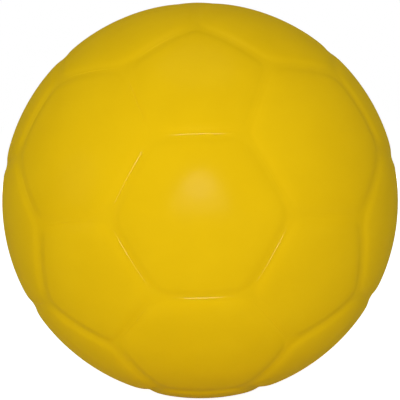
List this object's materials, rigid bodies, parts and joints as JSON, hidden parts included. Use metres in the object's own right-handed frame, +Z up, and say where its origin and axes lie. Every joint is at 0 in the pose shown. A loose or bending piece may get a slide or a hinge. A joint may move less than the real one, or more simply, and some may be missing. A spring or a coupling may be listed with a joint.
{
  "type": "dodgeball",
  "caption": "Inflatable rubber dodgeball: seamless moulded cover with pentagon and hexagon panels over a thread winding and bladder, with a needle valve.",
  "frame": {"origin": "middle of the ball", "axes": "+Z up; a hexagon panel faces -Y with a pentagon above it; +Y leaves the ball through the valve, in the middle of the opposite hexagon"},
  "size_m": [0.2158, 0.2159, 0.216],
  "materials": {
    "cover_rubber": "seamless moulded yellow rubber, satin on the panels and glossier in the channels",
    "winding_thread": "natural nylon thread laid in many directions and set in rubber cement",
    "bladder_rubber": "smooth matte black butyl",
    "patch_rubber": "matte dark grey sheet rubber",
    "housing_rubber": "satin black moulded rubber",
    "plug_rubber": "satin soft black rubber"
  },
  "bodies": {
    "root": {"cover": "cover_rubber", "winding": "winding_thread", "bladder": "bladder_rubber", "valve_patch": "patch_rubber", "valve_housing": "housing_rubber", "valve_plug": "plug_rubber"}
  },
  "joints": []
}
